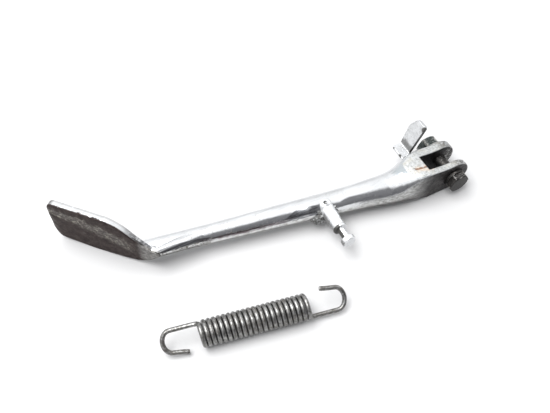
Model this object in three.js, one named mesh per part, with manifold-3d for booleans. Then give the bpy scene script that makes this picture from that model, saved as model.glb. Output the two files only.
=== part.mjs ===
// Motorcycle side stand: a tapered bar with a forged fork at one end and a bent foot
// plate at the other, a pivot bolt with nut and washers, a spring post, a stop tab and
// a loose return spring with two open hooks. The stand lies on its side.
// Millimetres, +Z up. While it is modelled, X = 0 and Z = PIVOT_Z is the pivot axis,
// which runs along +Y, and Y = 0 is the front face of the bolt head. The last lines
// move everything so that the middle of the footprint is the origin.
import * as THREE from 'three';
import { mergeVertices } from 'three/addons/utils/BufferGeometryUtils.js';
import Module from 'manifold-3d';

const wasm = await Module();
wasm.setup();

const GAP = 0.3; // clearance between pieces that touch
const PIVOT_Z = 14; // height of the pivot axis over the table

// pivot hardware
const HEX_AF = 16; // across flats, bolt head and nut
const HEAD_H = 4.8;
const COLLAR_R = 9; // round washer behind the head
const COLLAR_H = 2.6;
const SHANK_R = 5;
const BORE_R = SHANK_R + GAP; // washers and nut
const EAR_BORE_R = SHANK_R + 0.1;
const NUT_H = 8;
const NUT_WASHER_H = 2;
const BOLT_END_Y = 48;

// fork
const EAR_R = 14; // rounded ends of the ears
const NEAR_EAR = [8, 14.2];
const FAR_EAR = [27.2, 35];
const FORK_BACK_X = -52;
const SLOT_ROOT_X = -22;

// bar
const BAR_SLOPE = -0.2022; // how the bar drifts sideways along X
const BAR_Y0 = 12.23;
const BAR_FOOT_X = -266;

// foot plate
const TOE = [-288.0, 107.9]; // lower corner of the toe, on the sole
const HEEL = [-247.6, 63.2]; // where the sole leaves the table
const PLATE_T = 5.3;

// spring post
const POST_X = -104.6;
const POST_Z = 17.2;

// return spring
const WIRE_R = 1.7;
const COIL_R = 8.1; // centre line of the wire
const COIL_PITCH = 3.56;
const COIL_TURNS = 21.373;
const SPRING_MID = [-192.6, -25.0];
const SPRING_YAW = THREE.MathUtils.degToRad(-12.2);
const HOOK_TILT = THREE.MathUtils.degToRad(40); // plane of the hooks over the table
const HOOK_LEAD = THREE.MathUtils.degToRad(23); // turn in which the wire leaves the coil
const COIL_START = HOOK_TILT + HOOK_LEAD;

const CHROME = { color: 0xd6dadd, roughness: 0.16, metalness: 1 };
const BLACKENED = { color: 0x33342f, roughness: 0.5, metalness: 0.7 };
const ZINC = { color: 0x59635f, roughness: 0.45, metalness: 0.8 };
const SPRING_STEEL = { color: 0x4a4a48, roughness: 0.42, metalness: 0.85 };

const group = new THREE.Group();
group.name = 'kickstand';

function addPiece(name, geometry, look) {
  const mesh = new THREE.Mesh(geometry, new THREE.MeshStandardMaterial(look));
  mesh.name = name;
  group.add(mesh);
  return mesh;
}

function toManifold(source) {
  const bare = source.clone();
  bare.deleteAttribute('normal');
  bare.deleteAttribute('uv');
  const merged = mergeVertices(bare, 1e-4);
  return new wasm.Manifold(new wasm.Mesh({
    numProp: 3,
    vertProperties: new Float32Array(merged.attributes.position.array),
    triVerts: new Uint32Array(merged.index.array),
  }));
}

function fromManifold(solid) {
  const mesh = solid.getMesh();
  const geometry = new THREE.BufferGeometry();
  geometry.setAttribute('position', new THREE.BufferAttribute(new Float32Array(mesh.vertProperties), 3));
  geometry.setIndex(new THREE.BufferAttribute(new Uint32Array(mesh.triVerts), 1));
  geometry.computeVertexNormals();
  return geometry;
}

// skin over a row of closed rings, with flat ends
function loft(rings) {
  const count = rings[0].length;
  const positions = [];
  const index = [];
  for (const ring of rings) {
    for (const p of ring) positions.push(p.x, p.y, p.z);
  }
  for (let i = 0; i < rings.length - 1; i += 1) {
    for (let j = 0; j < count; j += 1) {
      const k = (j + 1) % count;
      const a = i * count + j;
      const b = i * count + k;
      index.push(a, b, b + count, a, b + count, a + count);
    }
  }
  const last = (rings.length - 1) * count;
  for (const [start, flip] of [[0, false], [last, true]]) {
    const middle = positions.length / 3;
    const centre = new THREE.Vector3();
    for (let j = 0; j < count; j += 1) {
      centre.x += positions[3 * (start + j)] / count;
      centre.y += positions[3 * (start + j) + 1] / count;
      centre.z += positions[3 * (start + j) + 2] / count;
    }
    positions.push(centre.x, centre.y, centre.z);
    for (let j = 0; j < count; j += 1) {
      const k = (j + 1) % count;
      if (flip) index.push(middle, start + j, start + k);
      else index.push(middle, start + k, start + j);
    }
  }
  const geometry = new THREE.BufferGeometry();
  geometry.setAttribute('position', new THREE.Float32BufferAttribute(positions, 3));
  geometry.setIndex(index);
  return geometry;
}

// value at x of a smooth curve through [x, value] knots
function through(knots, x) {
  const n = knots.length;
  if (x <= knots[0][0]) return knots[0][1];
  if (x >= knots[n - 1][0]) return knots[n - 1][1];
  let i = 0;
  while (x > knots[i + 1][0]) i += 1;
  const t = (x - knots[i][0]) / (knots[i + 1][0] - knots[i][0]);
  const s = t * t * (3 - 2 * t);
  return THREE.MathUtils.lerp(knots[i][1], knots[i + 1][1], 0.5 * (s + t));
}

// closed superellipse ring in a plane X = const
function superRing(x, y, z, halfY, halfZ, power, count) {
  const ring = [];
  for (let j = 0; j < count; j += 1) {
    const a = (2 * Math.PI * j) / count;
    const c = Math.cos(a);
    const s = Math.sin(a);
    const e = 2 / power;
    ring.push(new THREE.Vector3(
      x,
      y + halfY * Math.sign(c) * Math.abs(c) ** e,
      z + halfZ * Math.sign(s) * Math.abs(s) ** e,
    ));
  }
  return ring;
}

// solid of revolution about a line along +Y, from [radius, y] pairs
function turned(profile, x, z, segments) {
  const points = profile.map(([r, y]) => new THREE.Vector2(r, y));
  const geometry = new THREE.LatheGeometry(points, segments);
  geometry.translate(x, 0, z);
  return geometry;
}

// plate with an outline in X and Z, between two Y values
function plateXZ(shape, y0, y1, bevel, curveSegments) {
  const geometry = new THREE.ExtrudeGeometry(shape, {
    depth: y1 - y0 - 2 * bevel,
    bevelEnabled: bevel > 0,
    bevelThickness: bevel,
    bevelSize: bevel,
    bevelOffset: -bevel,
    bevelSegments: 2,
    curveSegments,
  });
  geometry.rotateX(Math.PI / 2);
  geometry.translate(0, y1 - bevel, 0);
  return geometry;
}

// ---- bar -------------------------------------------------------------------------
const barY = (x) => BAR_SLOPE * x + BAR_Y0;
const BAR_RADIUS = [
  [-266, 7.5], [-210, 7.5], [-183, 7.8], [-153, 8.5], [-122, 9.0],
  [-96, 9.3], [-78, 10.0], [-62, 11.4], [-44, 12.6],
];

function barSolid(extra, toX) {
  const rings = [];
  const steps = 22;
  for (let i = 0; i <= steps; i += 1) {
    const x = THREE.MathUtils.lerp(BAR_FOOT_X, toX, i / steps);
    const r = through(BAR_RADIUS, x) + extra;
    rings.push(superRing(x, barY(x), PIVOT_Z, r * 1.01, r, 2, 24));
  }
  return toManifold(loft(rings));
}

// half space cutter: a big box whose face passes through a point, facing a direction
function slab(point, yaw, depth) {
  const box = new THREE.BoxGeometry(400, depth, 200);
  box.translate(0, -depth / 2, 0);
  box.rotateZ(yaw);
  box.translate(point[0], point[1], PIVOT_Z);
  return toManifold(box);
}

const footYaw = Math.atan2(TOE[1] - HEEL[1], TOE[0] - HEEL[0]); // heel to toe
const along = [Math.cos(footYaw), Math.sin(footYaw)];
const soleOut = [-along[1], along[0]]; // out of the sole, towards -X and -Y
const backOfPlate = [
  HEEL[0] - soleOut[0] * (PLATE_T + GAP),
  HEEL[1] - soleOut[1] * (PLATE_T + GAP),
];
const frontOfBar = slab(backOfPlate, footYaw + Math.PI, 300);
let bar = barSolid(0, FORK_BACK_X - GAP);
bar = bar.subtract(frontOfBar);

// ---- foot plate ------------------------------------------------------------------
// outline: u runs from the toe towards the bar along the table, v is height
const foot = new THREE.Shape();
foot.moveTo(0.5, 2.0);
foot.quadraticCurveTo(30, -2.0, 60, 2.4);
foot.quadraticCurveTo(71, 5.5, 78, 13);
foot.quadraticCurveTo(82.6, 18.2, 82.6, 21.4);
foot.quadraticCurveTo(82, 23.0, 76, 23.4);
foot.lineTo(61.6, 34.1);
foot.quadraticCurveTo(53, 43.8, 43, 45.2);
foot.lineTo(1, 45.4);
foot.quadraticCurveTo(-3.0, 45.0, -3.4, 41);
foot.lineTo(-4.6, 16);
foot.quadraticCurveTo(-4.8, 4.0, 0.5, 2.0);
const footGeometry = new THREE.ExtrudeGeometry(foot, {
  depth: PLATE_T - 1.6,
  bevelEnabled: true,
  bevelThickness: 0.8,
  bevelSize: 0.8,
  bevelOffset: -0.8,
  bevelSegments: 2,
  curveSegments: 6,
});
footGeometry.translate(0, 0, 0.8);
footGeometry.rotateX(Math.PI / 2); // u along X, v along Z, thickness towards -Y
footGeometry.rotateZ(footYaw + Math.PI);
// the plate lies behind the plane of the sole
footGeometry.translate(TOE[0] - soleOut[0] * PLATE_T, TOE[1] - soleOut[1] * PLATE_T, 0);

// ---- fork ------------------------------------------------------------------------
const FORK_SECTIONS = [
  // x, middle y, half width, top, bottom, roundness
  [-52.0, 22.3, 12.0, 26.2, 2.2, 2.0],
  [-46.0, 21.8, 12.6, 27.8, 1.8, 2.15],
  [-41.5, 21.6, 13.0, 29.2, 1.5, 2.5],
  [-37.0, 21.5, 13.3, 30.1, 1.2, 3.1],
  [-33.0, 21.5, 13.45, 30.5, 1.0, 4.2],
  [-28.0, 21.5, 13.5, 30.6, 0.8, 6.0],
  [-22.15, 21.5, 13.5, 30.6, 0.6, 8.0],
];
const forkRings = FORK_SECTIONS.map(([x, y, halfY, top, bottom, power]) => (
  superRing(x, y, (top + bottom) / 2, halfY, (top - bottom) / 2, power, 32)
));
const forkRoot = toManifold(loft(forkRings));

function earShape() {
  const shape = new THREE.Shape();
  shape.moveTo(SLOT_ROOT_X + 0.15, 0.9);
  shape.quadraticCurveTo(-10, 0.2, 0, 0.05);
  shape.absarc(0, PIVOT_Z, EAR_R - 0.05, -Math.PI / 2, Math.PI / 2, false);
  shape.quadraticCurveTo(-9, 27.9, -16, 29.4);
  shape.lineTo(SLOT_ROOT_X + 0.15, 30.5);
  return shape;
}

function earPlate(y0, y1) {
  const blank = toManifold(plateXZ(earShape(), y0, y1, 0.9, 14));
  const bore = turned([
    [0, y0 - 5], [EAR_BORE_R, y0 - 5], [EAR_BORE_R, y1 + 5], [0, y1 + 5],
  ], 0, PIVOT_Z, 28);
  return blank.subtract(toManifold(bore));
}

// ---- pivot hardware --------------------------------------------------------------
function hexPrism(y0, y1, af, chamferFront, chamferBack) {
  const shape = new THREE.Shape();
  const r = af / Math.sqrt(3);
  for (let i = 0; i < 6; i += 1) {
    const a = (i * Math.PI) / 3;
    if (i === 0) shape.moveTo(r * Math.cos(a), PIVOT_Z + r * Math.sin(a));
    else shape.lineTo(r * Math.cos(a), PIVOT_Z + r * Math.sin(a));
  }
  const prism = toManifold(plateXZ(shape, y0, y1, 0, 1));
  const rim = r + 0.05;
  const face = af / 2 - 0.1;
  const drop = 0.55 * (rim - face);
  const outline = [
    [0, y0],
    [chamferFront ? face : rim, y0],
    [rim, y0 + (chamferFront ? drop : 0.01)],
    [rim, y1 - (chamferBack ? drop : 0.01)],
    [chamferBack ? face : rim, y1],
    [0, y1],
  ];
  return prism.intersect(toManifold(turned(outline, 0, PIVOT_Z, 36)));
}

function ring(y0, y1, outer, chamfer) {
  const profile = [
    [BORE_R, y0], [outer - chamfer, y0], [outer, y0 + chamfer],
    [outer, y1 - chamfer], [outer - chamfer, y1], [BORE_R, y1], [BORE_R, y0],
  ];
  return turned(profile, 0, PIVOT_Z, 32);
}

const shank = turned([
  [0, HEAD_H - 1], [SHANK_R, HEAD_H - 1], [SHANK_R, BOLT_END_Y - 1.2],
  [SHANK_R - 1, BOLT_END_Y], [0, BOLT_END_Y],
], 0, PIVOT_Z, 28);
const bolt = hexPrism(0, HEAD_H, HEX_AF, true, false).add(toManifold(shank));
const collarY = [NEAR_EAR[0] - GAP - COLLAR_H, NEAR_EAR[0] - GAP];
const nutWasherY = [FAR_EAR[1] + GAP, FAR_EAR[1] + GAP + NUT_WASHER_H];
const nutY = [nutWasherY[1] + GAP, nutWasherY[1] + GAP + NUT_H];
const nutBore = turned([
  [0, nutY[0] - 2], [BORE_R, nutY[0] - 2], [BORE_R, nutY[1] + 2], [0, nutY[1] + 2],
], 0, PIVOT_Z, 28);
const nut = hexPrism(nutY[0], nutY[1], HEX_AF, true, true).subtract(toManifold(nutBore));

// ---- spring post -----------------------------------------------------------------
const postProfile = [
  [0, -6.5], [4.6, -6.5], [5.4, -5.7], [5.4, -2.4], [2.9, -2.2], [2.9, 6.4],
  [5.8, 6.5], [5.9, 7.4], [5.8, 8.4], [4.8, 8.6], [4.8, 24.5], [6.3, 27.0],
  [6.5, 30.5], [5.8, 33.6], [3.6, 35.6], [0, 36.2],
];
let post = toManifold(turned(postProfile, POST_X, POST_Z, 26));
post = post.subtract(barSolid(GAP, -54));

function weldBead(x, y, z, sx, sy, sz, yaw) {
  const bead = new THREE.SphereGeometry(1, 14, 10);
  bead.scale(sx, sy, sz);
  bead.rotateZ(yaw);
  bead.translate(x, y, z);
  return toManifold(bead);
}

const postKeepOut = toManifold(turned(
  postProfile.map(([r, y]) => [r === 0 ? 0 : r + GAP, y]), POST_X, POST_Z, 26,
));
const barKeepOut = barSolid(GAP, -54);
const beadFoot = weldBead(POST_X - 6.2, 24.6, 16.4, 4.6, 4.2, 5.0, 0.3)
  .subtract(postKeepOut).subtract(barKeepOut);
const beadFork = weldBead(POST_X + 6.4, 25.2, 17.0, 4.8, 5.0, 5.2, -0.5)
  .subtract(postKeepOut).subtract(barKeepOut);

// ---- stop tab --------------------------------------------------------------------
const TAB_T = 2.3;
const TAB_LEAN = THREE.MathUtils.degToRad(22);
const TAB_FOLD_X = -20.6;
const TAB_Z = 20.4; // underside of the flange
const flange = new THREE.BoxGeometry(9.6, 51.2 - FAR_EAR[1] - GAP, TAB_T);
flange.translate(TAB_FOLD_X - 4.8, (51.2 + FAR_EAR[1] + GAP) / 2, TAB_Z + TAB_T / 2);
const blade = new THREE.Shape();
blade.moveTo(39.6, 0);
blade.lineTo(38.8, 23.6);
blade.quadraticCurveTo(39.0, 26.6, 41.6, 27.4);
blade.lineTo(46.6, 27.4);
blade.quadraticCurveTo(48.6, 27.0, 49.8, 25.0);
blade.lineTo(52.4, 19.6);
blade.quadraticCurveTo(52.9, 17.6, 52.6, 16.0);
blade.lineTo(51.2, 0);
const bladeGeometry = new THREE.ExtrudeGeometry(blade, {
  depth: TAB_T,
  bevelEnabled: false,
  curveSegments: 5,
});
// outline axes become Y and Z, thickness becomes -X
bladeGeometry.applyMatrix4(new THREE.Matrix4().set(
  0, 0, 1, -TAB_T,
  1, 0, 0, 0,
  0, 1, 0, 0,
  0, 0, 0, 1,
));
bladeGeometry.rotateY(TAB_LEAN);
bladeGeometry.translate(TAB_FOLD_X, 0, TAB_Z + 0.6);
const tab = toManifold(flange).add(toManifold(bladeGeometry));
const tabBead = weldBead(-25.6, 36.1, TAB_Z + TAB_T + 0.4, 4.2, 1.5, 1.3, 0)
  .subtract(toManifold(new THREE.BoxGeometry(40, 20, 10)
    .translate(-25, 45, TAB_Z + TAB_T + GAP - 5)))
  .subtract(toManifold(new THREE.BoxGeometry(60, 20, 40)
    .translate(-25, FAR_EAR[1] + GAP - 10, TAB_Z)));

// ---- return spring ---------------------------------------------------------------
class CoilLine extends THREE.Curve {
  getPoint(t, target = new THREE.Vector3()) {
    const turn = COIL_TURNS * t;
    const a = COIL_START + 2 * Math.PI * turn;
    const s = COIL_PITCH * (turn - COIL_TURNS / 2);
    return target.set(s, COIL_R * Math.cos(a), COIL_R * Math.sin(a));
  }
}

const wireSection = new THREE.Shape();
wireSection.absarc(0, 0, WIRE_R, 0, 2 * Math.PI, false);

function wire(curve, steps, sides) {
  return new THREE.ExtrudeGeometry(wireSection, {
    steps,
    extrudePath: curve,
    curveSegments: sides,
    bevelEnabled: false,
  });
}

// to the spring's place on the table
function laySpring(geometry) {
  geometry.rotateZ(SPRING_YAW);
  geometry.translate(SPRING_MID[0], SPRING_MID[1], COIL_R + WIRE_R);
  return geometry;
}

const coilLine = new CoilLine();
coilLine.arcLengthDivisions = 1600;
const coil = laySpring(wire(coilLine, Math.round(COIL_TURNS * 16), 4));

// open hook: leaves the end turn, runs out, bends round and comes back
// side is +1 at the +X end and -1 at the -X end; angle is where the coil wire stops
function hookCurve(side) {
  const end = side * (COIL_PITCH * COIL_TURNS / 2);
  const angle = COIL_START + (side > 0 ? 2 * Math.PI * COIL_TURNS : 0);
  const points = [];
  const at = (out, radial, turnBy) => {
    const a = angle + side * turnBy;
    points.push(new THREE.Vector3(
      end + side * out, radial * Math.cos(a), radial * Math.sin(a),
    ));
  };
  at(0.14, COIL_R, 0.13);
  at(0.9, COIL_R, 0.26);
  at(2.6, COIL_R, 0.36);
  at(5.0, COIL_R, HOOK_LEAD);
  const plane = angle + side * HOOK_LEAD;
  const inPlane = (out, radial) => {
    points.push(new THREE.Vector3(
      end + side * out, radial * Math.cos(plane), radial * Math.sin(plane),
    ));
  };
  inPlane(10.5, COIL_R);
  inPlane(16, COIL_R);
  const reach = side < 0 ? 20.4 : 21.4;
  const back = side < 0 ? 7.8 : 8.5; // where the free run lies
  const flare = side < 0 ? 0.1 : 0.7;
  for (let i = 0; i <= 8; i += 1) {
    const b = (Math.PI * i) / 8;
    inPlane(reach + 6.2 * Math.sin(b), (COIL_R - back) / 2 + (COIL_R + back) / 2 * Math.cos(b));
  }
  inPlane(reach - 5, -back);
  inPlane(reach - 10.5, -back - flare);
  return new THREE.CatmullRomCurve3(points, false, 'centripetal');
}

const hookFoot = laySpring(wire(hookCurve(-1), 44, 4));
const hookFork = laySpring(wire(hookCurve(1), 44, 4));

// ---- the pieces ------------------------------------------------------------------
addPiece('leg_bar', fromManifold(bar), CHROME);
addPiece('foot_plate', footGeometry, CHROME);
addPiece('fork_root', fromManifold(forkRoot), CHROME);
addPiece('fork_ear_near', fromManifold(earPlate(...NEAR_EAR)), CHROME);
addPiece('fork_ear_far', fromManifold(earPlate(...FAR_EAR)), CHROME);
addPiece('spring_post', fromManifold(post), CHROME);
addPiece('post_weld_foot_side', fromManifold(beadFoot), CHROME);
addPiece('post_weld_fork_side', fromManifold(beadFork), CHROME);
addPiece('stop_tab', fromManifold(tab), CHROME);
addPiece('tab_weld', fromManifold(tabBead), CHROME);
addPiece('pivot_bolt', fromManifold(bolt), BLACKENED);
addPiece('head_washer', ring(collarY[0], collarY[1], COLLAR_R, 0.4), BLACKENED);
addPiece('nut_washer', ring(nutWasherY[0], nutWasherY[1], 9.6, 0.3), ZINC);
addPiece('pivot_nut', fromManifold(nut), ZINC);
addPiece('spring_coil', coil, SPRING_STEEL);
addPiece('spring_hook_foot_end', hookFoot, SPRING_STEEL);
addPiece('spring_hook_fork_end', hookFork, SPRING_STEEL);

// footprint middle to the origin, lowest point to Z = 0
const extent = new THREE.Box3().setFromObject(group);
const middle = extent.getCenter(new THREE.Vector3());
for (const mesh of group.children) {
  mesh.geometry.translate(-middle.x, -middle.y, -extent.min.z);
}

export default group;
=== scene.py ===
import math
from types import SimpleNamespace

import bmesh
import bpy
import numpy as np
from mathutils import Matrix, Vector, noise


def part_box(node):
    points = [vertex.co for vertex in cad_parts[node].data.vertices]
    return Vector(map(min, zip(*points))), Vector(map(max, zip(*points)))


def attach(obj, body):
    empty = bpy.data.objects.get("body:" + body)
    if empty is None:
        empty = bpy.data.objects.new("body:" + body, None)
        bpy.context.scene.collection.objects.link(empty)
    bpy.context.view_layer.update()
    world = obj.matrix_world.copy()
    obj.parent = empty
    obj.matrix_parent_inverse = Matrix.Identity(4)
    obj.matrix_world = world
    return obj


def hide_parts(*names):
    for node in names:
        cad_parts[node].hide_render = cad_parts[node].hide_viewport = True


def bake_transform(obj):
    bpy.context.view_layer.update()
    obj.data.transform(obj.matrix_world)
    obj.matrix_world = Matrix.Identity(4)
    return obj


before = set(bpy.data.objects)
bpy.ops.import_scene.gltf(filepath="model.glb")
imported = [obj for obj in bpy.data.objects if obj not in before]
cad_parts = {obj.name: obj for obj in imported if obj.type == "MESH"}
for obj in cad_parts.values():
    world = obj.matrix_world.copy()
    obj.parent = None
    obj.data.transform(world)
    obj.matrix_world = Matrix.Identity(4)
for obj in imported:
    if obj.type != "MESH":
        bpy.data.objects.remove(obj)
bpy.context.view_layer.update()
MM = 0.001

# The stand is drawn in millimetres with X = 0 and Z = 14 on the pivot axis, which runs
# along Y, and Y = 0 on the front face of the bolt head. ORIGIN puts that into the frame.
bolt_lo, bolt_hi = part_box("pivot_bolt")
ORIGIN = Vector(((bolt_lo.x + bolt_hi.x) / 2, bolt_lo.y, 0.0))
PIVOT_Z = 14.0

# bolt, washers and nut, from the bolt head (Y = 0) to the far side
HEAD_AF, HEAD_T = 16.0, 4.8
SHANK_R, SHANK_END = 5.0, 48.0
THREAD_START, THREAD_END, THREAD_PITCH, THREAD_DEPTH = 36.0, 46.3, 1.0, 0.5
WASHER_BORE_R = 5.2
HEAD_WASHER = (5.1, 7.7, WASHER_BORE_R, 8.7)
NUT_WASHER = (35.3, 37.3, WASHER_BORE_R, 10.8)
NUT_Y, NUT_AF, NUT_BORE_R = (37.6, 45.6), 16.7, 5.25

# fork: both ears along Y, and the end of the slot between them
NEAR_EAR = (8.0, 14.2)
FAR_EAR = (27.2, 35.0)
EAR_R, EAR_BORE_R = 13.95, 5.1
SLOT_ROOT_X = -22.0
FLAT_TOP_Z = 30.6

# foot plate: the sole runs from toe to heel in plan, and faces along SOLE_OUT
TOE = np.array((-288.0, 107.9))
HEEL = np.array((-247.6, 63.2))
PLATE_T = 5.3
ALONG = (TOE - HEEL) / np.linalg.norm(TOE - HEEL)
SOLE_OUT = np.array((-ALONG[1], ALONG[0]))
SOLE_PLANE = float(TOE @ SOLE_OUT)

# bar: radius at stations along X
BAR_X = np.array((-270, -210, -183, -153, -122, -96, -78, -62, -52, -44, -34), float)
BAR_R = np.array((7.4, 7.5, 7.8, 8.5, 9.0, 9.4, 10.2, 11.5, 12.3, 12.8, 13.0))
BAR_ENDS = (-266.0, -49.0)
HEEL_NECK_X, HEEL_NECK_R = -193.0, 7.0

# spring post, and the drilled dimple in its domed root
POST_X, POST_Z = -104.6, 17.2
POST_DOME = (POST_X - 0.2, 29.6, POST_Z + 1.0)
POST_DIMPLE = (POST_X - 0.9, 28.6, POST_Z + 7.6)

# stop tab: a flange that lies on the fork, and a blade that leans back from the fold
TAB_FOLD_X, TAB_Z, TAB_T, TAB_LEAN = -20.6, 20.4, 2.3, math.radians(22)
BLADE_EXTRA_T = 0.8

# return spring, lying on the table
WIRE_R, COIL_R, COIL_PITCH, COIL_TURNS = 1.7, 8.1, 3.56, 21.373
COIL_HALF = COIL_PITCH * COIL_TURNS / 2
SPRING_MID = (-192.6, -25.0)
SPRING_YAW = math.radians(-12.2)
HOOK_TILT, HOOK_LEAD = math.radians(40), math.radians(23)

CAMERA_AT = ORIGIN + Vector((-0.2703, -0.2004, 0.440))
CAMERA_YAW, CAMERA_PITCH = math.radians(28.1), math.radians(56.4)
CAMERA_LENS = 43.85


# ---- geometry helpers --------------------------------
def place(obj):
    """From millimetres about the pivot to metres in the frame."""
    obj.data.transform(Matrix.Translation(ORIGIN) @ Matrix.Scale(MM, 4))
    obj.data.update()
    return obj


def link(name, data):
    obj = bpy.data.objects.new(name, data)
    bpy.context.scene.collection.objects.link(obj)
    return obj


def make(name, verts, faces):
    mesh = bpy.data.meshes.new(name)
    mesh.from_pydata([tuple(map(float, v)) for v in verts], [], faces)
    mesh.update()
    return link(name, mesh)


def from_bmesh(name, bm):
    mesh = bpy.data.meshes.new(name)
    bm.to_mesh(mesh)
    bm.free()
    return link(name, mesh)


def tidy_normals(obj):
    bm = bmesh.new()
    bm.from_mesh(obj.data)
    bmesh.ops.recalc_face_normals(bm, faces=bm.faces)
    bm.to_mesh(obj.data)
    bm.free()
    return obj


def shade(obj, angle=None):
    for p in obj.data.polygons:
        p.use_smooth = True
    if angle is not None:
        obj.data.set_sharp_from_angle(angle=math.radians(angle))
    return obj


def bake(obj):
    """Modifiers become mesh."""
    bpy.context.view_layer.update()
    deps = bpy.context.evaluated_depsgraph_get()
    mesh = bpy.data.meshes.new_from_object(obj.evaluated_get(deps))
    obj.modifiers.clear()
    old = obj.data
    obj.data = mesh
    bpy.data.meshes.remove(old)
    return obj


def cut(obj, tool):
    mod = obj.modifiers.new("cut", "BOOLEAN")
    mod.operation = "DIFFERENCE"
    mod.solver = "EXACT"
    mod.object = tool
    bake(obj)
    bpy.data.objects.remove(tool)
    return obj


def edge_bevel(obj, width, segments=3, angle=40):
    mod = obj.modifiers.new("edge", "BEVEL")
    mod.width = width
    mod.segments = segments
    mod.limit_method = "ANGLE"
    mod.angle_limit = math.radians(angle)
    return bake(obj)


def skin(obj, voxel, rounds):
    """One closed surface over everything in obj, softened."""
    mod = obj.modifiers.new("skin", "REMESH")
    mod.mode = "VOXEL"
    mod.voxel_size = voxel
    mod = obj.modifiers.new("soften", "SMOOTH")
    mod.iterations = rounds
    return bake(obj)


def join(name, parts):
    bm = bmesh.new()
    for p in parts:
        bm.from_mesh(p.data)
        bpy.data.objects.remove(p)
    return from_bmesh(name, bm)


def hull(name, points):
    bm = bmesh.new()
    for p in points:
        bm.verts.new(tuple(map(float, p)))
    bmesh.ops.convex_hull(bm, input=bm.verts)
    return tidy_normals(from_bmesh(name, bm))


def ball(centre, radii, yaw=0.0):
    bm = bmesh.new()
    bmesh.ops.create_uvsphere(bm, u_segments=36, v_segments=24, radius=1.0)
    m = (Matrix.Translation(centre) @ Matrix.Rotation(yaw, 4, "Z")
         @ Matrix.Diagonal((radii[0], radii[1], radii[2], 1)))
    bmesh.ops.transform(bm, matrix=m, verts=bm.verts)
    return from_bmesh("ball", bm)


def loft(name, rings):
    """Skin over rows of points, with closed ends."""
    rings = np.array(rings, float)
    n, m = rings.shape[:2]
    faces = []
    for i in range(n - 1):
        for j in range(m):
            k = (j + 1) % m
            faces.append((i * m + j, i * m + k, (i + 1) * m + k, (i + 1) * m + j))
    faces.append(tuple(range(m))[::-1])
    faces.append(tuple((n - 1) * m + j for j in range(m)))
    return tidy_normals(make(name, rings.reshape(-1, 3), faces))


def prism(name, outline, depth, to_world):
    """Outline in a plane, thickened; to_world maps (u, v, w) to millimetres."""
    n = len(outline)
    verts = [to_world(p[0], p[1], 0.0) for p in outline]
    verts += [to_world(p[0], p[1], depth) for p in outline]
    faces = [tuple(range(n))[::-1], tuple(range(n, 2 * n))]
    faces += [(i, (i + 1) % n, n + (i + 1) % n, n + i) for i in range(n)]
    return tidy_normals(make(name, verts, faces))


def rounded(points, radius, closed=True, steps=5):
    """A polyline with its corners turned to arcs. radius may be one per point."""
    pts = [np.array(p, float) for p in points]
    n = len(pts)
    radii = radius if isinstance(radius, (list, tuple)) else [radius] * n
    out = []
    for i in range(n):
        if not closed and i in (0, n - 1) or radii[i] <= 0:
            out.append(pts[i])
            continue
        a, b, c = pts[i - 1], pts[i], pts[(i + 1) % n]
        u, v = a - b, c - b
        lu, lv = np.linalg.norm(u), np.linalg.norm(v)
        r = min(radii[i], 0.49 * lu, 0.49 * lv)
        p, q = b + u / lu * r, b + v / lv * r
        for t in np.linspace(0, 1, steps + 1):
            out.append((1 - t) ** 2 * p + 2 * t * (1 - t) * b + t * t * q)
    return out


def arc(p, c, q, n):
    """n points from p towards q, pulled to c; q is left for the next arc."""
    p, c, q = np.array(p), np.array(c), np.array(q)
    return [tuple((1 - t) ** 2 * p + 2 * t * (1 - t) * c + t * t * q)
            for t in np.linspace(0, 1, n, endpoint=False)]


def turned(name, profile, x, z, segments=96, corner=0.25):
    """Turned on a line along Y, from (radius, y) pairs that start and end on the axis."""
    prof = rounded(profile, [0] + [corner] * (len(profile) - 2) + [0], closed=False, steps=4)
    angles = [2 * math.pi * k / segments for k in range(segments)]
    return loft(name, [[(x + r * math.cos(a), y, z + r * math.sin(a)) for a in angles]
                       for r, y in prof if r > 1e-6])


def super_ring(x, y, z, half_y, half_z, power, count=72):
    """A ring across X: round at power 2, and squarer above it."""
    a = np.linspace(0, 2 * math.pi, count, endpoint=False)
    c, s = np.cos(a), np.sin(a)
    e = 2.0 / power
    yy = half_y * np.sign(c) * np.abs(c) ** e
    zz = half_z * np.sign(s) * np.abs(s) ** e
    return np.stack((np.full(count, float(x)), y + yy, z + zz), 1)


def surface(obj):
    """Points and normals, as rows of three."""
    co = np.zeros(len(obj.data.vertices) * 3, np.float32)
    no = np.zeros_like(co)
    obj.data.vertices.foreach_get("co", co)
    obj.data.vertex_normals.foreach_get("vector", no)
    return co.reshape(-1, 3), no.reshape(-1, 3)


def move_to(obj, points):
    obj.data.vertices.foreach_set("co", points.astype(np.float32).ravel())
    obj.data.update()
    return obj


def wobble(obj, amount, size, seed=0.0):
    """Small uneven swelling of a surface, along its normals. size may be one per axis."""
    size = size if isinstance(size, tuple) else (size, size, size)
    co, no = surface(obj)
    shift = np.empty(len(co), np.float32)
    for i, p in enumerate(co):
        p = Vector((p[0] / size[0], p[1] / size[1], p[2] / size[2]))
        shift[i] = noise.noise(p + Vector((seed, seed * 1.7, -seed)))
    return move_to(obj, co + no * (shift * amount)[:, None])


def swell(obj, centre, reach, height):
    """A soft bump round a point."""
    co, no = surface(obj)
    d = np.linalg.norm(co - np.array(centre), axis=1) / reach
    return move_to(obj, co + no * (height * np.exp(-d * d))[:, None])


# ---- the forging -------------------------------------
def bar_y(x):
    """The bar's middle line in plan."""
    return -0.2022 * x + 12.23


def bar_radius(x):
    """Radius at x, with the corners between the stations smoothed away."""
    fine = np.linspace(BAR_X[0], BAR_X[-1], 400)
    r = np.interp(fine, BAR_X, BAR_R)
    kernel = np.exp(-0.5 * (np.arange(-30, 31) / 10.0) ** 2)
    r = np.convolve(np.pad(r, 30, mode="edge"), kernel / kernel.sum(), "valid")
    return float(np.interp(x, fine, r))


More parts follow.
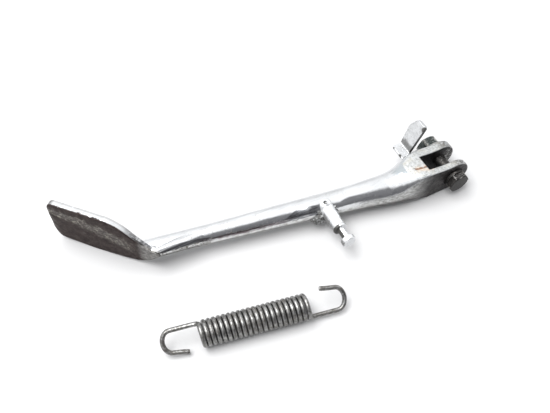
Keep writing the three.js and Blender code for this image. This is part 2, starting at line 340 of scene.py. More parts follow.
def on_plate(u, v, depth):
    """A point of the foot plate: u back from the toe, v up, depth behind the sole."""
    x, y = TOE - ALONG * u - SOLE_OUT * depth
    return x, y, v


def build_bar():
    rings = []
    for x in np.linspace(*BAR_ENDS, 130):
        r = bar_radius(x)
        z = PIVOT_Z + 0.3 * np.clip((x + 60) / 20, 0, 1)
        rings.append(super_ring(x, bar_y(x), z, r * 1.01, r, 2.0))
    bar = loft("bar", rings)
    # the bar ends inside the foot plate
    back = HEEL - SOLE_OUT * (PLATE_T * 0.5)
    square = [(-200, -200), (200, -200), (200, 200), (-200, 200)]
    beyond = prism("beyond", square, 300.0,
                   lambda u, v, w: (*(back + ALONG * u + SOLE_OUT * w), v))
    return cut(bar, beyond)


def foot_outline():
    """Round the plate from the toe's lower corner: start, pull and points of each arc."""
    arcs = [((0.5, 2.0), (30, -2.0), 16), ((60, 2.4), (71, 5.5), 10), ((78, 13), (82.6, 18.2), 10),
            ((82.6, 21.4), (82, 23.0), 6), ((76, 23.4), (70, 25.2), 6),
            ((61.6, 34.1), (53, 43.8), 10), ((43, 45.2), (20, 45.6), 3),
            ((3.5, 45.5), (-3.0, 45.4), 10), ((-3.6, 38.5), (-4.2, 28), 3),
            ((-4.6, 16), (-4.8, 4.0), 10)]
    outline = []
    for i, (start, pull, count) in enumerate(arcs):
        outline += arc(start, pull, arcs[(i + 1) % len(arcs)][0], count)
    return outline


def build_heel(outline):
    """The bar flares out to the tip of the heel."""
    tip = [on_plate(u, v, 1.4) for u, v in outline if u > 62 and v < 23.5]
    neck = super_ring(HEEL_NECK_X, bar_y(HEEL_NECK_X), PIVOT_Z, HEEL_NECK_R, HEEL_NECK_R, 2.0)
    return hull("heel", tip + [tuple(v) for v in neck])


def build_root():
    """From the round bar to the square root of the fork: x, y, half width, top, bottom, power."""
    stations = np.array([
        (-60.0, 24.36, 11.5, 25.45, 2.55, 2.0), (-56.0, 23.6, 12.0, 26.0, 2.1, 2.0),
        (-51.0, 22.5, 12.4, 26.9, 1.8, 2.04), (-46.0, 21.9, 12.75, 28.0, 1.6, 2.2),
        (-41.5, 21.6, 13.0, 29.2, 1.5, 2.5), (-37.0, 21.5, 13.3, 30.1, 1.2, 3.2),
        (-33.0, 21.5, 13.45, 30.5, 1.0, 4.6), (-28.0, 21.5, 13.5, FLAT_TOP_Z, 0.8, 9.0),
        (SLOT_ROOT_X, 21.5, 13.5, FLAT_TOP_Z, 0.6, 16.0)])
    rings = []
    for x in np.linspace(stations[0, 0], stations[-1, 0], 50):
        y, h, top, low, power = (np.interp(x, stations[:, 0], stations[:, i]) for i in range(1, 6))
        rings.append(super_ring(x, y, (top + low) / 2, h, (top - low) / 2, power, 120))
    return loft("root", rings)


def build_ear(y0, y1):
    outline = [(SLOT_ROOT_X - 2, 0.75), (-16, 0.5), (-8, 0.2)]
    for a in np.linspace(-math.pi / 2, math.pi / 2, 40):
        outline.append((EAR_R * math.cos(a), PIVOT_Z + EAR_R * math.sin(a)))
    outline += [(-5, 27.95), (-10, 28.4), (-15, 29.2), (-19, 30.1), (SLOT_ROOT_X - 2, FLAT_TOP_Z)]
    plate = prism("ear", outline, y1 - y0, lambda u, v, w: (u, y0 + w, v))
    plate = edge_bevel(plate, 1.2, 3, 50)
    bore = [(0, y0 - 4), (EAR_BORE_R, y0 - 4), (EAR_BORE_R, y1 + 4), (0, y1 + 4)]
    return cut(plate, turned("drill", bore, 0, PIVOT_Z, 48, 0.01))


def build_forging():
    outline = foot_outline()
    foot = edge_bevel(prism("foot", outline, PLATE_T, on_plate), 0.7, 2, 50)
    body = join("stand_forging", [build_bar(), foot, build_heel(outline), build_root(),
                                  build_ear(*NEAR_EAR), build_ear(*FAR_EAR)])
    skin(body, 0.42, 6)
    # the bar is thicker on both sides of the post's weld
    swell(body, (POST_X - 12.5, 30.5, 21.0), 8.0, 1.7)
    swell(body, (POST_X + 12.0, 24.5, POST_Z), 7.0, 0.9)
    # hammer marks: broad, drawn out along the bar, and fine
    wobble(body, 0.06, 9.0, 3.1)
    wobble(body, 0.16, (75.0, 6.5, 6.5), 5.2)
    wobble(body, 0.012, 2.2, 8.4)
    return shade(place(body))


# ---- turned and cut pieces ---------------------------
def build_post():
    """Knob, neck, collar and shank, from the near end to the bar."""
    profile = [(0, -6.5), (4.7, -6.5), (5.4, -5.8), (5.4, -2.3), (2.9, -2.3), (2.9, 6.4),
               (5.25, 6.4), (5.55, 7.4), (5.4, 8.5), (5.0, 8.7), (5.3, 17.0), (6.1, 27.0),
               (5.0, 33.0), (0, 33.6)]
    post = turned("turning", profile, POST_X, POST_Z, 96, 0.35)
    post = join("spring_post_turned", [post, ball(POST_DOME, (6.4, 6.3, 6.5))])
    skin(post, 0.2, 4)
    cut(post, ball(POST_DIMPLE, (1.9, 1.3, 1.5)))
    return shade(place(wobble(post, 0.05, 4.0, 1.3)), 60)


def build_weld(name, blobs, seed):
    """blobs are (centre, radii, yaw)."""
    bead = join(name, [ball(*blob) for blob in blobs])
    skin(bead, 0.3, 4)
    wobble(bead, 0.75, 1.9, seed)
    wobble(bead, 0.2, 0.7, seed + 4)
    return shade(place(bead))


def round_axis(columns, m, closed):
    """Quads between columns of m points that stand round an axis."""
    faces = []
    for k in range(columns):
        n = (k + 1) % columns
        for i in range(m if closed else m - 1):
            j = (i + 1) % m
            faces.append((k * m + i, k * m + j, n * m + j, n * m + i))
    return faces


def hexagon(name, y0, y1, af, front, back, hole=0.0):
    """Hexagon along Y with its corners turned off at the ends, and a round hole if asked."""
    columns = 96
    face = af / 2 - 0.15
    verts = []
    for k in range(columns):
        a = 2 * math.pi * k / columns
        r = af / 2 / math.cos(a % (math.pi / 3) - math.pi / 6)
        drop = 0.58 * (r - face)
        rows = [(face, y0), (r, y0 + drop)] if front else [(r - 0.05, y0), (r, y0 + 0.05)]
        rows += [(r, y1 - drop), (face, y1)] if back else [(r, y1 - 0.05), (r - 0.05, y1)]
        if hole:
            rows = [(hole, y0), *rows, (hole, y1)]
        verts += [(q * math.cos(a), y, PIVOT_Z + q * math.sin(a)) for q, y in rows]
    m = len(rows)
    faces = round_axis(columns, m, hole > 0)
    if not hole:
        faces.append(tuple(k * m for k in range(columns)))
        faces.append(tuple(k * m + m - 1 for k in range(columns)))
    return edge_bevel(tidy_normals(make(name, verts, faces)), 0.2, 2, 25)


def build_bolt():
    head = hexagon("head", 0.0, HEAD_T, HEAD_AF, True, False)
    prof = [(0, 4.0), (SHANK_R, 4.0), (SHANK_R, THREAD_START)]
    y = THREAD_START
    while y < THREAD_END:
        prof += [(SHANK_R - 0.05 - THREAD_DEPTH, y + THREAD_PITCH / 2),
                 (SHANK_R - 0.05, y + THREAD_PITCH)]
        y += THREAD_PITCH
    prof += [(4.4, 47.2), (4.0, SHANK_END), (0, SHANK_END)]
    shank = turned("shank", prof, 0, PIVOT_Z, 72, 0.12)
    bolt = join("pivot_bolt_forged", [head, shank])
    wobble(bolt, 0.05, 2.5, 6.0)
    return shade(place(bolt), 35)


def build_ring(name, y0, y1, inner, outer):
    prof = rounded([(inner, y0), (outer, y0), (outer, y1), (inner, y1)], 0.35, True, 4)
    segments = 96
    verts = []
    for k in range(segments):
        a = 2 * math.pi * k / segments
        verts += [(r * math.cos(a), y, PIVOT_Z + r * math.sin(a)) for r, y in prof]
    ring = tidy_normals(make(name, verts, round_axis(segments, len(prof), True)))
    return shade(place(wobble(ring, 0.04, 2.0, y0)), 40)


def build_nut():
    nut = hexagon("pivot_nut_cut", *NUT_Y, NUT_AF, True, True, NUT_BORE_R)
    return shade(place(wobble(nut, 0.04, 2.5, 2.0)), 30)


def build_tab():
    def up(u, v, w):
        """On the blade: u is Y, v runs up the blade, w is its thickness."""
        x, z = BLADE_EXTRA_T - w, v
        return (TAB_FOLD_X + x * math.cos(TAB_LEAN) + z * math.sin(TAB_LEAN), u,
                TAB_Z + 0.6 - x * math.sin(TAB_LEAN) + z * math.cos(TAB_LEAN))
    blade = rounded([(39.6, -1.0), (38.8, 27.4), (48.8, 27.4), (53.0, 18.6), (51.2, -1.0)],
                    [0.3, 3.2, 2.6, 2.0, 0.3], True, 8)
    blade = prism("blade", blade, TAB_T + BLADE_EXTRA_T, up)
    flange = rounded([(-30.2, 34.6), (-30.2, 51.2), (-20.7, 51.2), (-20.7, 39.6), (-20.7, 34.6)],
                     [0.4, 1.2, 0.5, 0.1, 0.4])
    flange = prism("flange", flange, TAB_T, lambda u, v, w: (u, v, TAB_Z + w))
    tab = skin(join("stop_tab_bent", [blade, flange]), 0.24, 2)
    wobble(tab, 0.10, 5.0, 4.4)
    return shade(place(tab))


# ---- spring ------------------------------------------
def hook_points(side):
    """From the coil's end out, round the hook and back; side is -1 or 1."""
    angle = HOOK_TILT + HOOK_LEAD + (2 * math.pi * COIL_TURNS if side > 0 else 0)
    reach, back, flare = (20.4, 7.8, 2.0) if side < 0 else (21.4, 8.5, 1.7)
    rows = [(0.14, COIL_R, 0.13), (0.9, COIL_R, 0.26), (2.6, COIL_R, 0.36),
            (5.0, COIL_R, HOOK_LEAD), (10.5, COIL_R, HOOK_LEAD), (16, COIL_R, HOOK_LEAD)]
    for b in np.linspace(0, math.pi, 13):
        rows.append((reach + 6.2 * math.sin(b),
                     (COIL_R - back) / 2 + (COIL_R + back) / 2 * math.cos(b), HOOK_LEAD))
    rows += [(reach - 5, -back - 0.4 * flare, HOOK_LEAD), (reach - 10.5, -back - flare, HOOK_LEAD)]
    return [np.array((side * COIL_HALF + side * o, r * math.cos(angle + side * t),
                      r * math.sin(angle + side * t))) for o, r, t in rows]


def catmull_rom(points, n):
    """A centripetal curve through the points, n to each stretch."""
    pts = np.array(points)
    ext = np.vstack((2 * pts[0] - pts[1], pts, 2 * pts[-1] - pts[-2]))
    out = []
    for i in range(1, len(ext) - 2):
        p0, p1, p2, p3 = ext[i - 1:i + 3]
        t0 = 0.0
        t1 = t0 + np.linalg.norm(p1 - p0) ** 0.5
        t2 = t1 + np.linalg.norm(p2 - p1) ** 0.5
        t3 = t2 + np.linalg.norm(p3 - p2) ** 0.5
        for s in np.linspace(t1, t2, n, endpoint=False):
            a1 = (t1 - s) / (t1 - t0) * p0 + (s - t0) / (t1 - t0) * p1
            a2 = (t2 - s) / (t2 - t1) * p1 + (s - t1) / (t2 - t1) * p2
            a3 = (t3 - s) / (t3 - t2) * p2 + (s - t2) / (t3 - t2) * p3
            b1 = (t2 - s) / (t2 - t0) * a1 + (s - t0) / (t2 - t0) * a2
            b2 = (t3 - s) / (t3 - t1) * a2 + (s - t1) / (t3 - t1) * a3
            out.append((t2 - s) / (t2 - t1) * b1 + (s - t1) / (t2 - t1) * b2)
    out.append(ext[-2])
    return np.array(out)


def spring_line():
    """The middle of the wire, from one hook's tip to the other's, along X."""
    t = np.linspace(0, 1, int(COIL_TURNS * (60)))
    a = HOOK_TILT + HOOK_LEAD + 2 * math.pi * COIL_TURNS * t
    along = COIL_PITCH * COIL_TURNS * (t - 0.5)
    coil = np.stack((along, COIL_R * np.cos(a), COIL_R * np.sin(a)), 1)
    left = catmull_rom([coil[2], coil[1], coil[0]] + hook_points(-1), 6)[::-1]
    right = catmull_rom([coil[-3], coil[-2], coil[-1]] + hook_points(1), 6)
    return np.vstack((left, coil[4:-4], right))


def sweep(line, radius, sides):
    """Round rings of the given radii along a line, without twist."""
    tangents = np.gradient(line, axis=0)
    tangents /= np.linalg.norm(tangents, axis=1)[:, None]
    up = np.cross(tangents[0], (0.3, 0.5, 0.8))
    up /= np.linalg.norm(up)
    rings = []
    for i, p in enumerate(line):
        up = up - tangents[i] * up.dot(tangents[i])
        up /= np.linalg.norm(up)
        side = np.cross(tangents[i], up)
        a = np.linspace(0, 2 * math.pi, sides, endpoint=False)
        rings.append(p + radius[i] * (np.cos(a)[:, None] * up + np.sin(a)[:, None] * side))
    return np.array(rings)


def build_spring():
    line = spring_line()
    sides = 16
    # the wire is sawn off square, with a slightly broken edge
    radius = np.full(len(line), WIRE_R)
    radius[0] = radius[-1] = WIRE_R * 0.86
    spring = loft("return_spring", sweep(line, radius, sides))
    rest = Matrix.Translation((*SPRING_MID, COIL_R + WIRE_R))
    turn = rest @ Matrix.Rotation(SPRING_YAW, 4, "Z")
    spring.data.transform(turn)
    place(spring)
    world = Matrix.Translation(ORIGIN) @ Matrix.Scale(MM, 4) @ turn
    rot, off = np.array(world.to_3x3()), np.array(world.translation)
    # every ring is shrunk onto the wire's middle while the transform is baked in, then put back
    co, _ = surface(spring)
    move_to(spring, np.repeat(line, sides, axis=0) @ rot.T + off)
    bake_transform(spring)
    move_to(spring, co)
    return shade(spring, 60)


# ---- shader helpers ----------------------------------
class Nodes:
    """Short names for the sums of a node tree."""

    def __init__(self, tree):
        self.tree = tree

    def node(self, kind, **settings):
        n = self.tree.nodes.new(kind)
        for k, v in settings.items():
            setattr(n, k, v)
        return n

    def link(self, value, socket):
        if isinstance(value, bpy.types.NodeSocket):
            self.tree.links.new(value, socket)
        else:
            socket.default_value = value

    def vec(self, op, a, b=None, scale=None):
        n = self.node("ShaderNodeVectorMath", operation=op)
        self.link(a, n.inputs[0])
        if b is not None:
            self.link(b, n.inputs[1])
        if scale is not None:
            n.inputs["Scale"].default_value = scale
        return n.outputs["Value"] if op in ("DOT_PRODUCT", "LENGTH", "DISTANCE") else n.outputs[0]

    def math(self, op, a, b=0.0, clamp=False):
        n = self.node("ShaderNodeMath", operation=op, use_clamp=clamp)
        self.link(a, n.inputs[0])
        self.link(b, n.inputs[1])
        return n.outputs[0]

    def mul(self, first, *others):
        for value in others:
            first = self.math("MULTIPLY", first, value)
        return first

    def add(self, first, *others):
        for value in others:
            first = self.math("ADD", first, value)
        return first

    def most(self, first, *others):
        for value in others:
            first = self.math("MAXIMUM", first, value)
        return first

    def inv(self, a):
        return self.math("SUBTRACT", 1.0, a, clamp=True)

    def swing(self, value, width):
        """A noise as a shift of up to half of width both ways."""
        return self.mul(self.math("SUBTRACT", value, 0.5), width)

    def step(self, value, lo, hi):
        """0 at lo, 1 at hi, smooth in between; lo may be above hi."""
        n = self.node("ShaderNodeMapRange", interpolation_type="SMOOTHSTEP")
        flip = lo > hi
        self.link(value, n.inputs["Value"])
        n.inputs["From Min"].default_value = hi if flip else lo
        n.inputs["From Max"].default_value = lo if flip else hi
        n.inputs["To Min"].default_value = 1.0 if flip else 0.0
        n.inputs["To Max"].default_value = 0.0 if flip else 1.0
        return n.outputs["Result"]

    def between(self, value, a0, a1, b1, b0):
        """0 before a0, 1 from a1 to b1, and 0 again after b0."""
        return self.mul(self.step(value, a0, a1), self.step(value, b0, b1))

    def band(self, value, centre, half, soft):
        """1 within half of centre, fading out over soft."""
        off = self.math("ABSOLUTE", self.math("SUBTRACT", value, centre))
        return self.step(off, half + soft, half)

    def mix(self, fac, a, b):
        n = self.node("ShaderNodeMix", data_type="RGBA")
        self.link(fac, n.inputs[0])
        for value, socket in ((a, n.inputs[6]), (b, n.inputs[7])):
            self.link((*value, 1.0) if isinstance(value, tuple) else value, socket)
        return n.outputs[2]

    def mixf(self, fac, a, b):
        n = self.node("ShaderNodeMix", data_type="FLOAT")
        self.link(fac, n.inputs[0])
        self.link(a, n.inputs[2])
        self.link(b, n.inputs[3])
        return n.outputs[0]


class Shader(Nodes):
    """A material in millimetres about the pivot."""

    def __init__(self, name):
        self.mat = bpy.data.materials.new(name)
        self.mat.use_nodes = True
        super().__init__(self.mat.node_tree)
        self.bsdf = self.tree.nodes["Principled BSDF"]
        coord = self.node("ShaderNodeTexCoord")
        v = self.vec("SUBTRACT", coord.outputs["Object"], tuple(ORIGIN))
        self.mm = self.vec("SCALE", v, scale=1 / MM)
        parts = self.node("ShaderNodeSeparateXYZ")
        self.link(self.mm, parts.inputs[0])
        self.x, self.y, self.z = parts.outputs
        facing = self.node("ShaderNodeSeparateXYZ")
        self.link(coord.outputs["Normal"], facing.inputs[0])
        _, self.ny, self.nz = facing.outputs

    def scaled(self, factors, offset=(0, 0, 0)):
        v = self.vec("MULTIPLY", self.mm, factors)
        return self.vec("ADD", v, offset) if any(offset) else v

    def noise(self, size, detail=4.0, rough=0.55, vector=None, shift=0.0):
        """size is in millimetres."""
        n = self.node("ShaderNodeTexNoise")
        src = vector if vector is not None else self.mm
        if shift:
            src = self.vec("ADD", src, (shift, shift * 0.7, -shift))
        self.link(src, n.inputs["Vector"])
        n.inputs["Scale"].default_value = 1.0 / size
        n.inputs["Detail"].default_value = detail
        n.inputs["Roughness"].default_value = rough
        return n.outputs["Fac"]

    def patches(self, lo, hi, *settings, **more):
        """Where a noise goes from lo to hi."""
        return self.step(self.noise(*settings, **more), lo, hi)

    def flecks(self, size, outer, inner, shift=0.0):
        """Scattered spots; outer and inner are radii in cell widths, size is in millimetres."""
        n = self.node("ShaderNodeTexVoronoi")
        src = self.vec("ADD", self.mm, (shift, -shift, shift * 0.4)) if shift else self.mm
        self.link(src, n.inputs["Vector"])
        n.inputs["Scale"].default_value = 1.0 / size
        return self.step(n.outputs["Distance"], outer, inner)

    def spot(self, point, outer, inner):
        """1 within inner of a point, 0 beyond outer."""
        return self.step(self.vec("DISTANCE", self.mm, point), outer, inner)

    def bump(self, height, strength, distance_mm, normal=None):
        n = self.node("ShaderNodeBump")
        self.link(height, n.inputs["Height"])
        n.inputs["Strength"].default_value = strength
        n.inputs["Distance"].default_value = distance_mm * MM
        if normal is not None:
            self.link(normal, n.inputs["Normal"])
        return n.outputs[0]

    def done(self, colour, metal, rough, normal):
        self.link(colour, self.bsdf.inputs["Base Color"])
        self.link(metal, self.bsdf.inputs["Metallic"])
        self.link(rough, self.bsdf.inputs["Roughness"])
        self.link(normal, self.bsdf.inputs["Normal"])
        return self.mat


# ---- old chrome on the forging -----------------------
def find_sole(s, m):
    """m.sole is the bare sole, m.crack the dark line where its plating has lifted."""
    m.out = s.vec("DOT_PRODUCT", s.mm, (float(SOLE_OUT[0]), float(SOLE_OUT[1]), 0.0))
    back = s.vec("DOT_PRODUCT", s.mm, (float(-ALONG[0]), float(-ALONG[1]), 0.0))
    m.along = s.math("SUBTRACT", back, float(-(TOE @ ALONG)))
    reach = s.step(m.along, 92.0, 86.0)
    chewed = s.patches(0.50, 0.66, 5.0, 5.0, 0.65, shift=95.0)
    front = s.add(m.out, s.add(chewed, s.mul(m.ragged, 0.9)))
    m.sole = s.mul(s.step(front, SOLE_PLANE - 0.75, SOLE_PLANE - 0.30), reach)
    front = s.add(m.out, s.mul(m.ragged, 2.0))
    m.crack = s.mul(s.step(front, SOLE_PLANE - 1.2, SOLE_PLANE - 0.3), reach)
    heel = s.mul(s.step(m.along, 60.0, 70.0), s.step(s.z, 15.0, 19.0))
    m.crack = s.mul(m.crack, s.inv(m.sole), heel)


def find_fork(s, m):
    """The near ear's outer face and its sooty part, the slot that is painted black as shade, and the
    matt flat on top.
    """
    x = s.add(s.x, s.swing(s.noise(7.0, 5.0, 0.7, shift=21.0), 14.0))
    m.near = s.mul(s.step(s.ny, -0.35, -0.75), s.step(s.x, -64.0, -52.0))
    m.near_dark = s.mul(m.near, s.step(x, -46.0, -20.0))
    m.slot = s.mul(s.between(s.y, 13.4, 14.1, 27.3, 28.2), s.step(s.x, -23.2, -22.2))
    boundary = s.step(s.add(s.x, s.mul(m.ragged, 2.4)), -37.4, -35.2)
    m.flat = s.mul(s.step(s.nz, 0.88, 0.95), boundary)


def find_painted_bands(s, m):
    """m.film is a painted dark reflection band along the bar's near side, m.low a greyer strip below
    it, painted shade.
    """
    on_bar = s.mul(s.step(s.x, -250.0, -242.0), s.step(s.x, -24.0, -40.0))
    m.near_side = s.mul(s.step(s.ny, 0.1, -0.3), on_bar)
    m.mottle = s.noise(3.4, 6.0, 0.68, shift=3.0)
    m.streaks = s.noise(1.5, 4.0, 0.6, vector=s.scaled((0.035, 1.0, 1.0)), shift=4.0)
    # towards the heel the painted reflection band climbs, and beside the post it swells into a painted
    # dark lens
    climb = s.step(s.x, -188.0, -216.0)
    m.lens = s.band(s.x, POST_X - 16.0, 4.0, 14.0)
    edge = s.add(s.nz, s.swing(m.mottle, 0.25), s.mul(climb, -0.26))
    raised = s.add(s.ny, s.add(s.mul(m.lens, -0.50), s.mul(climb, -0.44)))
    raised = s.add(raised, s.mul(s.step(s.x, -206.0, -228.0), -0.22))
    m.film = s.mul(s.step(edge, 0.13, 0.27), s.step(raised, -0.80, -0.88), m.near_side,
                   s.step(s.x, POST_X - 4.0, POST_X - 9.0), s.step(m.streaks, 0.72, 0.45))
    far_side = s.mul(s.step(s.ny, 0.0, 0.3), s.patches(0.38, 0.60, 9.0, 5.0, 0.65, shift=87.0))
    # m.low marks painted shade: the lower strip of the near side, the ear's outer face and patches on
    # the far side
    m.low = s.mul(s.step(edge, 0.26, 0.14), s.most(m.near_side, m.near, far_side))
    m.cast = s.mul(s.step(edge, 0.50, 0.32), s.step(s.ny, -0.15, -0.4))
    m.cast = s.mul(m.cast, s.step(s.x, -92.0, -66.0), s.step(s.x, -8.0, -16.0))


def plated(s, m):
    """Clean on top, a painted dark reflection band along the near side with painted grey shade below
    it, bare cast iron below the fork, and painted shade on the faces turned down.
    """
    chrome = s.mix(s.step(m.cloud, 0.35, 0.7), (0.75, 0.76, 0.77), (0.64, 0.65, 0.66))
    chrome = s.mix(s.mul(s.step(m.streaks, 0.56, 0.70), 0.55), chrome, (0.40, 0.41, 0.42))
    # painted dark reflection: near-black, bluish in the lens beside the post and reddish between the
    # post and the heel
    reddish_reflection = s.mul(s.step(s.x, -206.0, -186.0), s.step(s.x, -128.0, -150.0))
    dull = s.mix(m.lens, (0.110, 0.110, 0.118), (0.150, 0.154, 0.168))
    dull = s.mix(reddish_reflection, dull, (0.142, 0.104, 0.114))
    chrome = s.mix(s.mul(m.film, 0.92), chrome, dull)
    # painted shade: mottled grey on the lower strip
    grey = s.mix(s.step(m.mottle, 0.44, 0.68), (0.70, 0.705, 0.70), (0.34, 0.335, 0.32))
    chrome = s.mix(s.mul(m.low, 0.85), chrome, grey)
    iron = s.mix(s.step(m.grain, 0.36, 0.62), (0.24, 0.235, 0.225), (0.62, 0.625, 0.62))
    chrome = s.mix(s.mul(m.cast, 0.9), chrome, iron)
    # painted shade on the near side's faces turned down, darker by the fork
    underside_shade = s.mul(s.step(s.nz, 0.05, -0.38), m.near_side)
    underside_shade_tone = s.mix(m.cast, (0.18, 0.175, 0.165), (0.085, 0.082, 0.078))
    return s.mix(s.mul(underside_shade, s.mixf(m.cast, 0.85, 0.96)), chrome, underside_shade_tone)


def find_flaws(s, m):
    """Pits, specks and scabs of rust, and fine scratches along the bar."""
    pits = s.mul(s.flecks(1.6, 0.20, 0.08), s.patches(0.50, 0.64, 14.0, 3.0))
    specks = s.flecks(0.75, 0.22, 0.10, shift=9.0)
    specks = s.mul(specks, s.patches(0.54, 0.64, 9.0, 3.0, shift=5.0))
    rusty_end = s.mul(s.step(s.nz, 0.50, 0.36), m.near_side)
    rusty_end = s.mul(s.step(s.x, -190.0, -200.0), rusty_end)
    rusty_end = s.mul(rusty_end, s.patches(0.52, 0.57, 1.9, 5.0, 0.75, shift=17.0))
    scabs = s.mul(s.patches(0.635, 0.66, 2.6, 6.0, 0.75, shift=31.0), m.near_side)
    scabs = s.mul(scabs, s.step(s.nz, 0.75, 0.55))
    m.flaws = s.most(pits, specks, rusty_end, scabs)
    m.scratch = s.patches(0.62, 0.70, 1.2, 3.0, 0.6, vector=s.scaled((0.05, 1.0, 1.0)))


def fork_top(s, m, colour):
    """A painted bluish-grey reflection on the slope before the flat, then the flat with thin, matt,
    yellowed plating and a rusty groove.
    """
    # painted bluish-grey reflection on the slope just before the flat
    facet_sheen = s.mul(s.step(s.x, -50.0, -44.0), s.step(s.nz, 0.80, 0.94))
    colour = s.mix(s.mul(facet_sheen, 0.80), colour, (0.40, 0.44, 0.46))
    matt = s.patches(0.42, 0.62, 1.6, 6.0, 0.8, shift=41.0)
    matt = s.mix(matt, (0.55, 0.555, 0.55), (0.25, 0.25, 0.235))
    yellow = s.patches(0.50, 0.62, 5.0, 4.0, 0.6, shift=43.0)
    matt = s.mix(s.mul(yellow, 0.30), matt, (0.56, 0.515, 0.41))
    colour = s.mix(s.mul(m.flat, 0.80), colour, matt)
    line = s.add(s.y, s.add(s.mul(s.x, 0.24), s.swing(m.mottle, 3.2)))
    on_top = s.step(s.z, 27.0, 28.5)
    m.groove = s.mul(s.band(line, 11.4, 0.35, 0.75), s.between(s.x, -34.5, -31.5, -21.5, -17.5))
    gaps = s.patches(0.40, 0.50, 2.0, 5.0, 0.7, shift=19.0)
    m.groove = s.mul(m.groove, on_top, gaps)
    m.stain = s.mul(s.band(line, 11.0, 1.0, 3.6), s.between(s.x, -36.0, -28.0, -20.0, -12.0))
    m.stain = s.mul(m.stain, on_top, s.step(m.mottle, 0.36, 0.62))
    colour = s.mix(s.mul(m.stain, 0.55), colour, (0.55, 0.38, 0.24))
    coarse = s.noise(11.0, 5.0, 0.6, shift=13.0)
    rust = s.mix(coarse, (0.16, 0.070, 0.035), (0.30, 0.15, 0.08))
    return s.mix(s.mul(m.groove, 0.95), colour, rust)


def fork_sides(s, m, colour):
    """Soot on the near ear's outer face, painted shade in the slot with bare tips, and painted shade in
    the corner at the tab.
    """
    soot = s.patches(0.42, 0.62, 3.0, 6.0, 0.72, shift=51.0)
    soot = s.mix(soot, (0.006, 0.005, 0.005), (0.058, 0.052, 0.052))
    colour = s.mix(s.mul(m.near_dark, 0.97), colour, soot)
    # the slot is painted near-black as shade, with bare steel towards the ear tips
    black = s.patches(0.4, 0.7, 2.5, 5.0, 0.65)
    black = s.mix(black, (0.008, 0.007, 0.008), (0.035, 0.032, 0.032))
    bare = s.mix(s.step(m.grain, 0.50, 0.62), (0.030, 0.027, 0.026), (0.55, 0.55, 0.54))
    black = s.mix(s.step(s.add(s.x, s.mul(m.ragged, 8.0)), 5.0, 12.0), black, bare)
    colour = s.mix(m.slot, colour, black)
    worn = s.patches(0.38, 0.54, 2.0, 6.0, 0.75, shift=61.0)
    m.ear_edge = s.mul(s.step(s.x, -7.0, 5.0), worn)
    m.ear_edge = s.mul(m.ear_edge, s.inv(s.most(m.slot, m.near)))
    colour = s.mix(s.mul(m.ear_edge, 0.85), colour, (0.125, 0.115, 0.105))
    # painted shade in the corner between the tab's blade and the ear
    corner = s.mul(s.spot((-19.6, 37.4, 24.4), 7.5, 4.6), s.step(s.x, -13.0, -16.0))
    return s.mix(s.mul(corner, 0.9), colour, (0.03, 0.03, 0.03))


def worn_sole(s, m):
    """Brown-grey scuffed steel with one pale scraped streak, a grey tip at the heel and a painted
    highlight along the toe's edge.
    """
    base = s.patches(0.32, 0.70, 4.5, 6.0, 0.75, shift=11.0)
    base = s.mix(base, (0.021, 0.0135, 0.0125), (0.066, 0.050, 0.046))
    grit = s.noise(2.3, 6.0, 0.85, vector=s.scaled((0.7, 0.7, 1.0)), shift=2.0)
    specks = s.flecks(1.7, 0.34, 0.14, shift=33.0)
    base = s.mix(s.mul(s.step(grit, 0.55, 0.68), 0.45), base, (0.19, 0.175, 0.165))
    # the streak bows down towards the heel and gets wider
    bow = s.add(s.mul(m.along, -0.08), s.mul(m.along, m.along, -0.0030))
    height = s.math("SUBTRACT", s.add(s.z, s.swing(m.ragged, 13.0)), bow)
    off = s.math("ABSOLUTE", s.math("SUBTRACT", height, 36.2))
    off = s.math("DIVIDE", off, s.mixf(s.step(m.along, -6.0, 56.0), 5.4, 10.5))
    streak = s.mul(s.step(off, 1.0, 0.35), s.step(m.along, 68.0, 52.0))
    patchy = s.patches(0.40, 0.58, 4.0, 6.0, 0.75, shift=77.0)
    scraped = s.mix(s.step(grit, 0.46, 0.60), (0.045, 0.038, 0.035), (0.36, 0.335, 0.29))
    scraped = s.mix(s.mul(specks, 0.7), scraped, (0.48, 0.45, 0.36))
    base = s.mix(s.mul(streak, patchy, 0.95), base, scraped)
    tip = s.mul(s.step(s.add(m.along, s.mul(m.ragged, 8.0)), 68.0, 76.0), s.step(s.z, 3.0, 9.0))
    pale = s.mix(s.step(grit, 0.40, 0.62), (0.11, 0.105, 0.10), (0.33, 0.325, 0.31))
    base = s.mix(s.mul(tip, 0.85), base, pale)
    # painted highlight along the toe's edge
    toe_edge_highlight = s.mul(s.step(m.along, 1.0, -3.0), s.step(m.ragged, 0.4, 0.6))
    m.bright = s.most(streak, tip)
    return s.mix(s.mul(toe_edge_highlight, 0.5), base, (0.22, 0.21, 0.20))


def foot_plate(s, m, colour):
    """A painted shade line along the back edge, scuffs near the heel, a grey toe, and the sole."""
    # painted shade: a grey line along the top of the back edge
    back_line = s.mul(s.band(m.out, SOLE_PLANE - PLATE_T + 1.0, 0.45, 0.7),
                      s.step(m.along, 72.0, 64.0))
    back_line = s.mul(back_line, s.step(s.z, 26.0, 32.0), s.step(m.ragged, 0.26, 0.42))
    colour = s.mix(s.mul(back_line, 0.42), colour, (0.34, 0.335, 0.325))
    scuff = s.mul(s.step(m.out, SOLE_PLANE - 3.4, SOLE_PLANE - 1.2), s.step(m.along, 58.0, 70.0))
    scuff = s.mul(scuff, s.step(m.along, 96.0, 88.0), s.patches(0.40, 0.56, 1.8, 6.0, 0.8, shift=91.0))
    colour = s.mix(s.mul(scuff, 0.8), colour, (0.30, 0.285, 0.26))
    toe_top = s.mul(s.step(m.along, 3.0, -0.5), s.step(m.along, -12.0, -8.0),
                    s.step(s.z, 37.0, 41.0))
    colour = s.mix(s.mul(toe_top, 0.75), colour, (0.17, 0.165, 0.16))
    colour = s.mix(m.sole, colour, worn_sole(s, m))
    return s.mix(s.mul(m.crack, 0.95), colour, (0.022, 0.020, 0.018))


